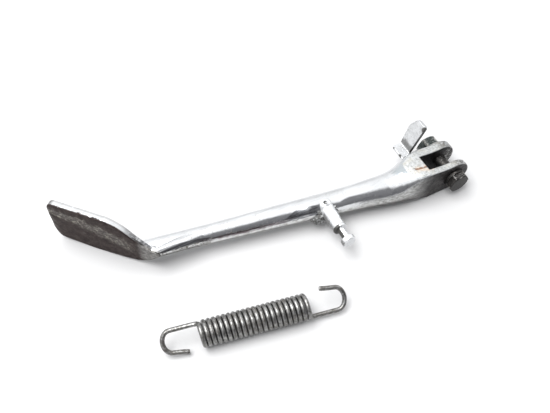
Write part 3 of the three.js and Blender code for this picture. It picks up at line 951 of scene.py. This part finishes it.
def stand_gloss(s, m):
    """Roughness and metalness."""
    rough = s.mixf(s.step(m.cloud, 0.3, 0.75), 0.09, 0.18)
    rough = s.mixf(s.mul(m.scratch, 0.4), rough, 0.35)
    rough = s.mixf(s.mul(m.film, 0.7), rough, 0.26)
    rough = s.mixf(s.mul(m.low, 0.85), rough, 0.36)
    rough = s.mixf(m.cast, rough, 0.48)
    rough = s.mixf(m.flat, rough, 0.42)
    rusty = s.most(m.groove, s.mul(m.stain, 0.6))
    rough = s.mixf(s.most(m.flaws, rusty, m.crack), rough, 0.78)
    uneven = s.mixf(s.noise(2.0, 4.0, shift=1.0), 0.34, 0.62)
    rough = s.mixf(s.most(m.near_dark, m.slot, m.ear_edge), rough, uneven)
    rough = s.mixf(m.sole, rough, s.mixf(m.bright, 0.74, 0.50))
    metal = s.mixf(s.most(rusty, s.mul(m.flaws, 0.5)), 1.0, 0.15)
    metal = s.mixf(s.mul(m.flat, 0.5), metal, 0.5)
    metal = s.mixf(s.mul(m.sole, 0.5), metal, 0.4)
    metal = s.mixf(s.mul(s.most(m.near_dark, m.slot), 0.5), metal, 0.4)
    return rough, metal


def stand_bump(s, m):
    nrm = s.bump(s.add(s.mul(m.flaws, -1.0), s.mul(m.scratch, -0.10)), 0.55, 0.10)
    nrm = s.bump(m.streaks, 0.14, 0.10, nrm)
    nrm = s.bump(s.noise(0.9, 4.0, 0.6), 0.08, 0.05, nrm)
    rugged = s.mul(s.most(m.near_dark, m.slot, m.cast), 0.8)
    rugged = s.most(rugged, m.sole, s.mul(m.low, 0.35), s.mul(m.flat, 0.25))
    nrm = s.bump(s.mul(rugged, s.noise(1.5, 6.0, 0.7, shift=6.0)), 0.75, 0.50, nrm)
    return s.bump(s.mul(s.most(m.groove, m.crack), -1.0), 0.8, 0.6, nrm)


def chrome_stand():
    """m holds the masks and noises that the functions above share."""
    s = Shader("old_chrome_stand")
    m = SimpleNamespace(ragged=s.noise(5.0, 5.0, 0.6), cloud=s.noise(20.0, 5.0, 0.6))
    m.grain = s.noise(1.7, 6.0, 0.75, vector=s.scaled((0.45, 1.0, 1.0)), shift=71.0)
    find_sole(s, m)
    find_fork(s, m)
    find_painted_bands(s, m)
    find_flaws(s, m)
    colour = s.mix(m.flaws, plated(s, m), (0.085, 0.07, 0.055))
    colour = fork_top(s, m, colour)
    colour = fork_sides(s, m, colour)
    colour = foot_plate(s, m, colour)
    rough, metal = stand_gloss(s, m)
    return s.done(colour, metal, rough, stand_bump(s, m))


# ---- other materials ---------------------------------
def chrome_small(name, grime, seed, shade_and_marks, tone, plate=1.0):
    """Old plating on a small piece. The mask function passed in gives where it is painted near-black:
    painted shade, and on the tab a few dark marks as well.
    """
    s = Shader(name)
    cloud = s.noise(7.0, 5.0, 0.6, shift=seed)
    pits = s.mul(s.flecks(1.0, 0.24, 0.10, shift=seed), s.patches(0.52, 0.62, 5.0, 3.0, shift=seed + 3))
    film = s.mul(s.patches(0.48, 0.70, 2.4, 6.0, 0.7, shift=seed + 8), grime)
    clean = (0.70 * tone, 0.71 * tone, 0.72 * tone)
    dull = (0.56 * tone, 0.57 * tone, 0.58 * tone)
    colour = s.mix(s.step(cloud, 0.3, 0.7), clean, dull)
    colour = s.mix(film, colour, (0.24, 0.235, 0.22))
    colour = s.mix(pits, colour, (0.09, 0.08, 0.07))
    rough = s.mixf(cloud, 0.10, 0.26)
    rough = s.mixf(s.most(film, pits), rough, 0.60)
    metal = s.mixf(film, plate, 0.6 * plate)
    # near-black where painted: painted shade, and dark marks on the tab
    black = shade_and_marks(s)
    shade_and_mark_tone = s.mix(s.noise(1.6, 5.0, 0.7, shift=seed), (0.012, 0.012, 0.011), (0.09, 0.088, 0.082))
    colour = s.mix(black, colour, shade_and_mark_tone)
    rough = s.mixf(black, rough, 0.5)
    metal = s.mixf(black, metal, 0.3)
    nrm = s.bump(s.mul(pits, -1.0), 0.5, 0.1)
    nrm = s.bump(s.noise(0.7, 4.0, 0.6), 0.14, 0.05, nrm)
    nrm = s.bump(s.noise(2.6, 5.0, 0.65, shift=seed + 2), 0.25, 0.25, nrm)
    return s.done(colour, metal, rough, nrm)


def post_painted_shade(s):
    """Painted shade behind the collar, along the side towards the foot, on the shoulder, in the dimple
    and round the foot of the dome.
    """
    ragged = s.swing(s.noise(1.8, 5.0, 0.7, shift=23.0), 2.6)
    side = s.add(s.math("SUBTRACT", s.x, POST_X), ragged)
    neck = s.mul(s.step(s.add(s.y, ragged), 9.6, 8.2), s.step(s.y, -2.6, -1.6))
    neck = s.mul(s.step(side, -0.6, -1.8), neck)
    shank = s.mul(s.step(side, -4.0, -5.0), s.step(s.y, 25.0, 22.0))
    shoulder = s.mul(s.band(s.y, 8.7, 0.15, 0.35), s.step(ragged, -0.2, 0.3))
    hole = s.mul(s.spot(POST_DIMPLE, 2.0, 1.4), 0.9)
    ring = s.mul(s.spot(POST_DOME, 7.0, 6.6), s.step(s.z, 23.0, 21.2), s.step(s.y, 26.5, 27.5))
    return s.most(neck, s.mul(shank, 0.8), s.mul(shoulder, 0.7), hole, s.mul(ring, 0.35))


def tab_shade_and_marks(s):
    """Painted shade in the fold and in the gap at the blade's foot; dark along the blade's edge towards
    the bolt, at its corner, and at two spots on the flange.
    """
    ragged = s.swing(s.noise(2.6, 5.0, 0.7, shift=27.0), 5.0)
    blade = s.step(s.z, TAB_Z + TAB_T + 0.5, TAB_Z + TAB_T + 1.3)
    # painted shade in the fold
    fold = s.mul(s.step(s.add(s.z, ragged), 29.3, 26.5), blade, 0.80)
    edge = s.mul(s.step(s.ny, -0.25, -0.55), blade, s.step(s.add(s.z, s.mul(ragged, 1.5)), 48.0, 42.0))
    corner = s.mul(s.spot((-12.8, 39.0, 44.8), 3.0, 1.8), 0.97)
    # painted shade in the gap between the blade's foot and the ear
    root = s.spot((-19.6, 37.6, 24.0), 4.6, 2.6)
    nick = s.spot((-30.2, 40.4, TAB_Z + 1.4), 2.0, 1.2)
    flange_tip = s.spot((-30.4, 49.2, TAB_Z + 2.0), 1.3, 0.7)
    return s.most(fold, s.mul(edge, 0.85), corner, root, nick, flange_tip)


def weld_metal():
    s = Shader("plated_weld")
    film = s.patches(0.36, 0.56, 1.7, 6.0, 0.75)
    colour = s.mix(film, (0.42, 0.43, 0.43), (0.085, 0.083, 0.08))
    nrm = s.bump(s.noise(0.8, 6.0, 0.7), 0.6, 0.3)
    return s.done(colour, s.mixf(film, 0.7, 0.5), s.mixf(film, 0.60, 0.75), nrm)


def blackened(name, dark, light, seed):
    """Oxide worn off to bare steel on the edges and in scratches; more pale scratches on the faces
    turned up, a painted highlight there.
    """
    s = Shader(name)
    film = s.noise(2.2, 6.0, 0.7, shift=seed)
    colour = s.mix(s.step(film, 0.35, 0.7), dark, light)
    # far from the axis the corners of the hexagon are rubbed
    flat_xz = s.scaled((1.0, 0.0, 1.0), (0.0, 0.0, -PIVOT_Z))
    reach = s.add(s.vec("LENGTH", flat_xz), s.mul(s.noise(1.1, 4.0, 0.6, shift=seed + 3), 1.6))
    rub = s.mul(s.step(reach, 9.6, 10.1), s.patches(0.36, 0.56, 2.4, 5.0, 0.7, shift=seed + 1))
    lines = s.noise(0.8, 4.0, 0.7, vector=s.scaled((0.25, 1.0, 1.0)), shift=seed + 5)
    # pale scratches crowd the faces turned up: wear, and a painted highlight on the top faces of the
    # hexagons
    scratch = s.mul(s.step(lines, 0.56, 0.66), s.step(s.nz, 0.2, 0.8))
    scratch = s.most(scratch, s.mul(s.step(lines, 0.62, 0.70), 0.5))
    worn = s.most(s.mul(rub, 0.75), s.mul(scratch, 0.6))
    colour = s.mix(worn, colour, (0.40, 0.39, 0.37))
    spots = s.mul(s.flecks(0.9, 0.25, 0.1, shift=seed), s.patches(0.5, 0.6, 3.0, shift=seed))
    colour = s.mix(s.mul(spots, 0.7), colour, (0.15, 0.09, 0.055))
    rough = s.mixf(film, 0.32, 0.60)
    rough = s.mixf(worn, rough, 0.32)
    nrm = s.bump(s.noise(0.9, 6.0, 0.7, shift=seed), 0.5, 0.14)
    nrm = s.bump(s.mul(scratch, -1.0), 0.4, 0.08, nrm)
    return s.done(colour, 0.75, rough, nrm)


def spring_steel():
    s = Shader("oily_spring_steel")
    film = s.noise(2.4, 6.0, 0.7)
    rust = s.mul(s.patches(0.53, 0.58, 0.9, 6.0, 0.8, shift=5.0),
                 s.patches(0.43, 0.57, 14.0, 3.0, shift=8.0))
    colour = s.mix(s.step(film, 0.34, 0.62), (0.345, 0.345, 0.34), (0.140, 0.137, 0.130))
    colour = s.mix(s.mul(rust, 0.85), colour, (0.075, 0.055, 0.040))
    rough = s.mixf(rust, s.mixf(film, 0.22, 0.42), 0.7)
    nrm = s.bump(s.noise(0.5, 3.0, 0.5), 0.18, 0.06)
    nrm = s.bump(s.mul(rust, -1.0), 0.4, 0.12, nrm)
    return s.done(colour, s.mixf(rust, 1.0, 0.5), rough, nrm)


# ---- assembly ----------------------------------------
def finish(obj, material, slot, body, *nodes):
    """Coats a piece, hangs it on the empty of the body it rides on, and hides the CAD nodes it stands
    for.
    """
    obj.data.materials.clear()
    obj.data.materials.append(material)
    if body:
        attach(obj, body)
    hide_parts(*nodes)


finish(build_forging(), chrome_stand(), "chrome", "leg",
             "leg_bar", "foot_plate", "fork_root", "fork_ear_near", "fork_ear_far")
finish(build_post(), chrome_small("chrome_post", 0.18, 2.0, post_painted_shade, 1.12, 0.62),
             "chrome", "leg", "spring_post")

weld = weld_metal()
foot_side = [
    ((POST_X - 6.8, 24.6, 14.8), (3.4, 3.2, 3.4), 0.2),
    ((POST_X - 9.2, 25.4, 13.0), (3.4, 2.8, 3.0), 0.5),
    ((POST_X - 11.6, 26.4, 11.8), (2.8, 2.4, 2.4), 0.6),
    ((POST_X - 6.8, 23.8, 11.0), (3.0, 2.6, 3.0), 0.0),
    ((POST_X - 7.0, 27.4, 18.0), (1.8, 3.2, 2.4), 0.2),
    ((POST_X - 9.8, 24.6, 10.0), (2.6, 2.0, 2.2), 0.0)]
finish(build_weld("weld_at_post_foot_side", foot_side, 1.0), weld,
             "chrome", "leg", "post_weld_foot_side")
fork_side = [
    ((POST_X + 6.4, 25.6, 17.2), (2.8, 3.2, 3.4), -0.4),
    ((POST_X + 8.4, 24.4, 15.0), (2.6, 2.2, 2.8), -0.2),
    ((POST_X + 7.2, 29.0, 20.2), (1.8, 2.8, 2.0), -0.3),
    ((POST_X + 10.4, 26.0, 17.0), (1.8, 1.8, 1.6), -0.2)]
finish(build_weld("weld_at_post_fork_side", fork_side, 5.0), weld,
             "chrome", "leg", "post_weld_fork_side")

finish(build_tab(), chrome_small("chrome_tab", 0.60, 6.0, tab_shade_and_marks, 1.04),
             "chrome", "leg", "stop_tab")
under_flange = [((-25.6 + k * 2.0, 35.9, TAB_Z + TAB_T + 0.1), (1.6, 1.5, 1.3), 0.0)
                for k in (-1.6, -0.8, 0, 0.8, 1.6)]
finish(build_weld("weld_at_tab", under_flange, 9.0), weld, "chrome", "leg", "tab_weld")

black = blackened("black_oxide", (0.014, 0.0135, 0.013), (0.050, 0.047, 0.045), 1.0)
green = blackened("dull_zinc", (0.022, 0.028, 0.027), (0.070, 0.082, 0.080), 7.0)
finish(build_bolt(), black, "blackened", "pivot", "pivot_bolt")
finish(build_ring("washer_at_head", *HEAD_WASHER), black, "blackened", "pivot", "head_washer")
finish(build_ring("washer_at_nut", *NUT_WASHER), green, "zinc", "pivot", "nut_washer")
finish(build_nut(), green, "zinc", "pivot", "pivot_nut")

# the spring rides on no body
finish(build_spring(), spring_steel(), "spring_steel", None,
             "spring_coil", "spring_hook_foot_end", "spring_hook_fork_end")


# ---- set: camera, table, light -----------------------
def make_camera():
    data = bpy.data.cameras.new("camera")
    camera = link("camera", data)
    camera.location = CAMERA_AT
    level = math.cos(CAMERA_PITCH)
    look = Vector((math.sin(CAMERA_YAW) * level, math.cos(CAMERA_YAW) * level,
                   -math.sin(CAMERA_PITCH)))
    camera.rotation_euler = look.to_track_quat("-Z", "Y").to_euler()
    data.sensor_width = 36.0
    data.lens = CAMERA_LENS
    data.dof.use_dof = False
    bpy.context.scene.camera = camera


def make_table():
    table = make("table", [(-6, -6, 0), (6, -6, 0), (6, 6, 0), (-6, 6, 0)], [(0, 1, 2, 3)])
    table.location.z = -0.0002
    mat = bpy.data.materials.new("white_table")
    mat.use_nodes = True
    bsdf = mat.node_tree.nodes["Principled BSDF"]
    bsdf.inputs["Base Color"].default_value = (0.52, 0.52, 0.522, 1)
    bsdf.inputs["Roughness"].default_value = 0.85
    bsdf.inputs["Specular IOR Level"].default_value = 0.1
    table.data.materials.append(mat)


def make_world():
    """A white tent overhead, a grey wall behind the viewer, and the viewer standing in the light."""
    world = bpy.data.worlds.new("studio")
    bpy.context.scene.world = world
    world.use_nodes = True
    s = Nodes(world.node_tree)
    s.tree.nodes.clear()
    background = s.node("ShaderNodeBackground")
    s.link(background.outputs[0], s.node("ShaderNodeOutputWorld").inputs[0])
    direction = s.node("ShaderNodeTexCoord").outputs["Generated"]
    toward = Vector((-math.sin(CAMERA_YAW), -math.cos(CAMERA_YAW), 0))
    across = Vector((math.cos(CAMERA_YAW), -math.sin(CAMERA_YAW), 0))
    up = Vector((0, 0, 1))

    def seen(way, lo, hi):
        return s.step(s.vec("DOT_PRODUCT", direction, way), lo, hi)

    figure = s.mul(seen(across + 0.30 * toward - 0.15 * up, 0.14, 0.36), seen(toward, -0.06, 0.10))
    wall = seen(toward - 1.15 * up, -0.10, 0.28)
    room = s.mix(wall, (0.985, 0.99, 1.0), (0.60, 0.605, 0.62))
    room = s.mix(figure, room, (0.19, 0.19, 0.20))
    s.link(room, background.inputs["Color"])
    s.link(s.mixf(seen(up, 0.05, 0.75), 1.0, 1.40), background.inputs["Strength"])


def make_key_light():
    data = bpy.data.lights.new("key", "AREA")
    data.shape = "RECTANGLE"
    data.size, data.size_y = 1.15, 0.85
    data.energy = 28.0
    lamp = link("key", data)
    lamp.location = (-0.40, 0.16, 1.35)
    lamp.rotation_euler = (-lamp.location).to_track_quat("-Z", "Y").to_euler()


make_camera()
make_table()
make_world()
make_key_light()

view = bpy.context.scene.view_settings
view.view_transform = "Standard"
view.look = "None"
view.exposure = 0.0
